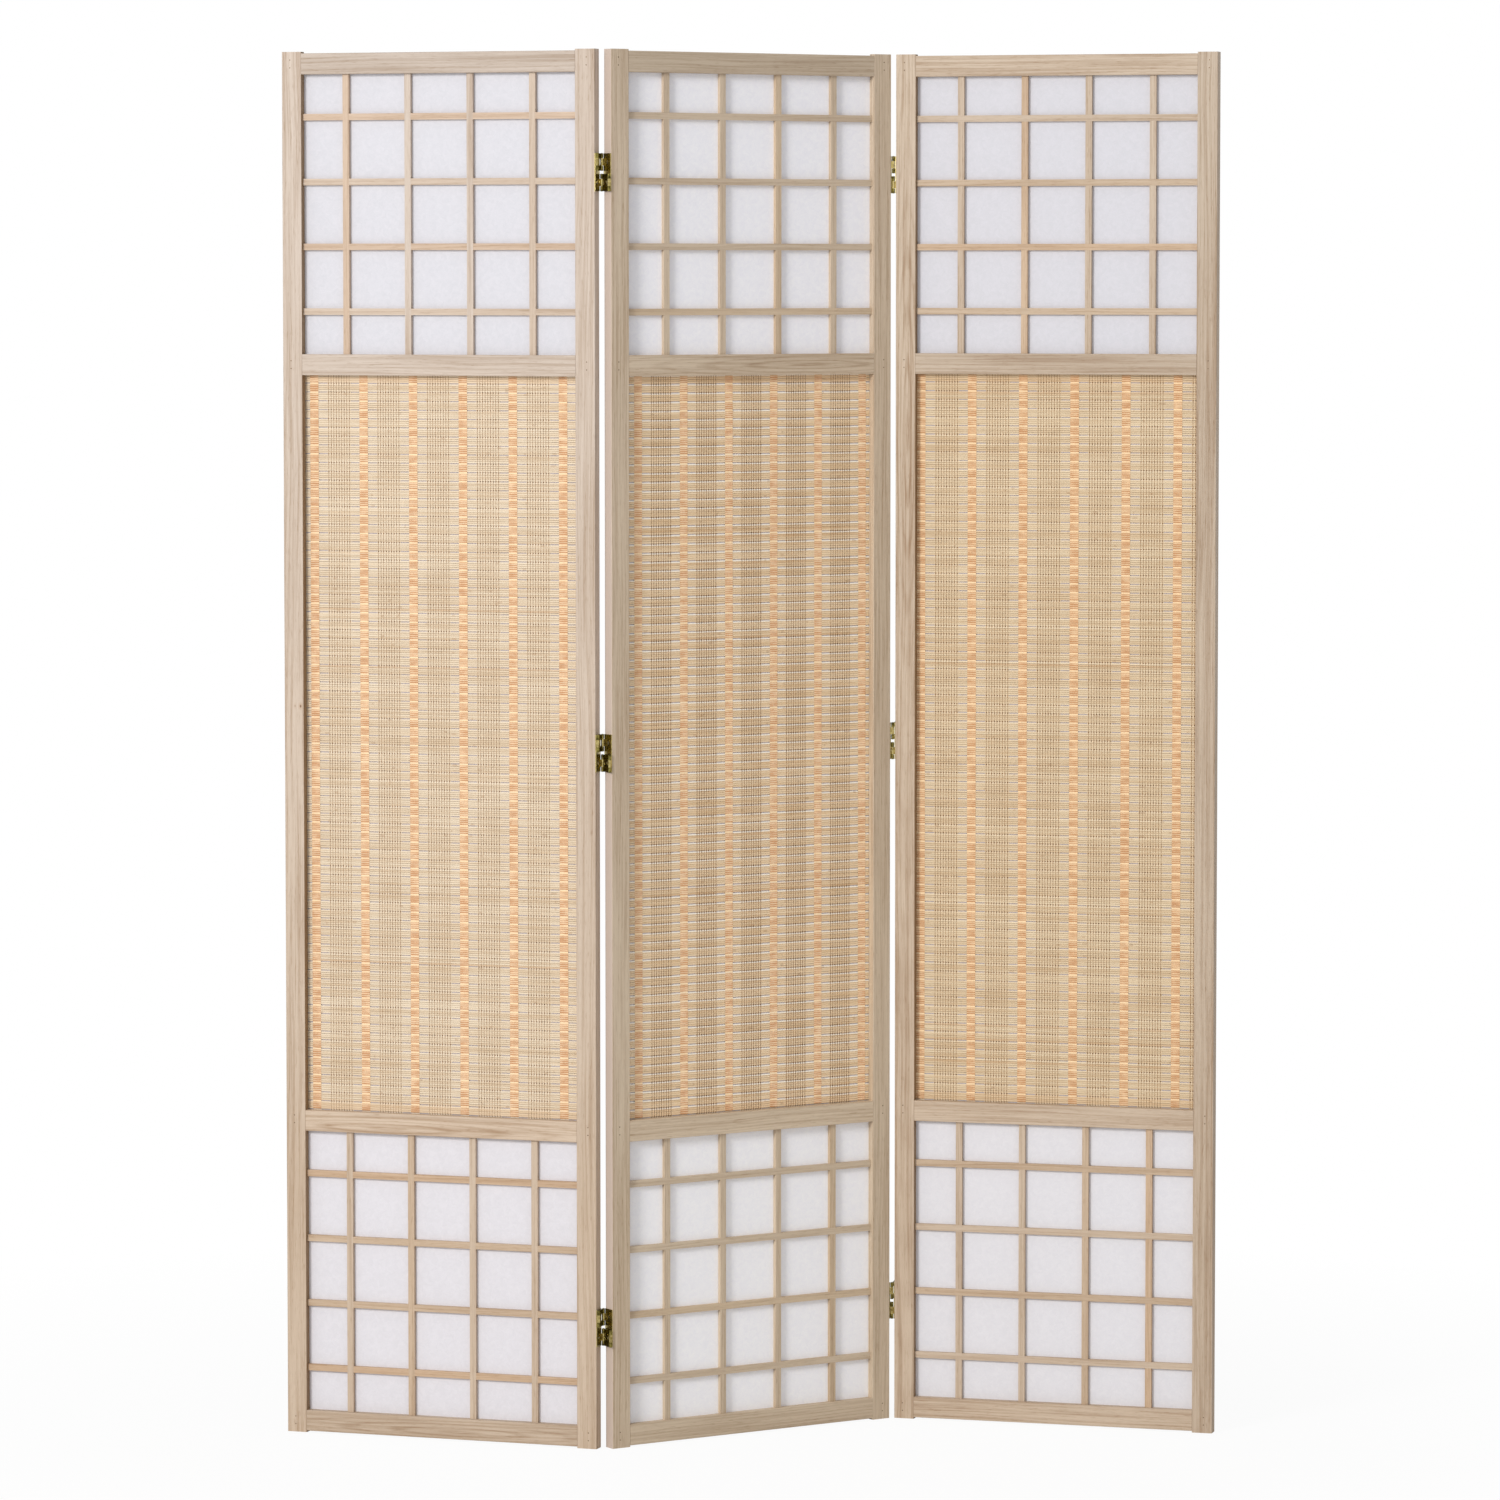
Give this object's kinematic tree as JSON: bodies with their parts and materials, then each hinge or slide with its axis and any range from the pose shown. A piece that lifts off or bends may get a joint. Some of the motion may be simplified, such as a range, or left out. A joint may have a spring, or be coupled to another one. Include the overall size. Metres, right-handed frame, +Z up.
{
  "type": "shoji folding screen",
  "caption": "Free-standing folding screen of hinged wooden panels with half-lapped lattices over translucent paper above and below, and woven bamboo-slat mats between.",
  "frame": {"origin": "on the floor, under the centre of the standing screen's bounding box in plan", "axes": "+Z up; +X to the viewer's right along the screen; +Y away from the viewer who faces the lattices' front"},
  "size_m": [1.2072, 0.2566, 1.79],
  "materials": {
    "frame_wood": "satin, pale, planed",
    "lattice_wood": "satin, pale, planed",
    "bead_wood": "satin",
    "bamboo": "split bamboo with cotton ties",
    "screen_paper": "matte translucent paper",
    "hinge_leaf_brass": "polished",
    "hinge_link_brass": "aged, satin",
    "screw_steel": "nickel-plated"
  },
  "bodies": {
    "left_panel": {"left_panel_left_stile": "frame_wood", "left_panel_right_stile": "frame_wood", "left_panel_top_rail": "frame_wood", "left_panel_upper_rail": "frame_wood", "left_panel_lower_rail": "frame_wood", "left_panel_bottom_rail": "frame_wood", "left_panel_upper_paper": "screen_paper", "left_panel_mat_paper": "screen_paper", "left_panel_lower_paper": "screen_paper", "left_panel_bamboo_mat": "bamboo", "left_panel_rear_beads": "bead_wood", "left_panel_upper_lattice_uprights": "lattice_wood", "left_panel_upper_lattice_crossbars": "lattice_wood", "left_panel_lower_lattice_uprights": "lattice_wood", "left_panel_lower_lattice_crossbars": "lattice_wood", "left_hinges_left_leaves": "hinge_leaf_brass", "left_hinges_upper_links": "hinge_link_brass", "left_hinges_upper_pins": "hinge_link_brass", "left_panel_hinge_screws": "screw_steel"},
    "middle_panel": {"middle_panel_left_stile": "frame_wood", "middle_panel_right_stile": "frame_wood", "middle_panel_top_rail": "frame_wood", "middle_panel_upper_rail": "frame_wood", "middle_panel_lower_rail": "frame_wood", "middle_panel_bottom_rail": "frame_wood", "middle_panel_upper_paper": "screen_paper", "middle_panel_mat_paper": "screen_paper", "middle_panel_lower_paper": "screen_paper", "middle_panel_bamboo_mat": "bamboo", "middle_panel_rear_beads": "bead_wood", "middle_panel_upper_lattice_uprights": "lattice_wood", "middle_panel_upper_lattice_crossbars": "lattice_wood", "middle_panel_lower_lattice_uprights": "lattice_wood", "middle_panel_lower_lattice_crossbars": "lattice_wood", "left_hinges_right_leaves": "hinge_leaf_brass", "left_hinges_lower_links": "hinge_link_brass", "left_hinges_lower_pins": "hinge_link_brass", "right_hinges_left_leaves": "hinge_leaf_brass", "right_hinges_lower_links": "hinge_link_brass", "right_hinges_lower_pins": "hinge_link_brass", "middle_panel_hinge_screws": "screw_steel"},
    "right_panel": {"right_panel_left_stile": "frame_wood", "right_panel_right_stile": "frame_wood", "right_panel_top_rail": "frame_wood", "right_panel_upper_rail": "frame_wood", "right_panel_lower_rail": "frame_wood", "right_panel_bottom_rail": "frame_wood", "right_panel_upper_paper": "screen_paper", "right_panel_mat_paper": "screen_paper", "right_panel_lower_paper": "screen_paper", "right_panel_bamboo_mat": "bamboo", "right_panel_rear_beads": "bead_wood", "right_panel_upper_lattice_uprights": "lattice_wood", "right_panel_upper_lattice_crossbars": "lattice_wood", "right_panel_lower_lattice_uprights": "lattice_wood", "right_panel_lower_lattice_crossbars": "lattice_wood", "right_hinges_right_leaves": "hinge_leaf_brass", "right_hinges_upper_links": "hinge_link_brass", "right_hinges_upper_pins": "hinge_link_brass", "right_panel_hinge_screws": "screw_steel"}
  },
  "joints": [
    {"name": "left_fold", "type": "hinge", "parent": "middle_panel", "child": "left_panel", "pos_m": [-0.18977, -0.10924, 0.895], "axis": [0, 0, -1], "range_deg": [-50.9, 129.1]},
    {"name": "right_fold", "type": "hinge", "parent": "middle_panel", "child": "right_panel", "pos_m": [0.18532, 0.10901, 0.895], "axis": [0, 0, -1], "range_deg": [-48.6, 131.4]}
  ]
}
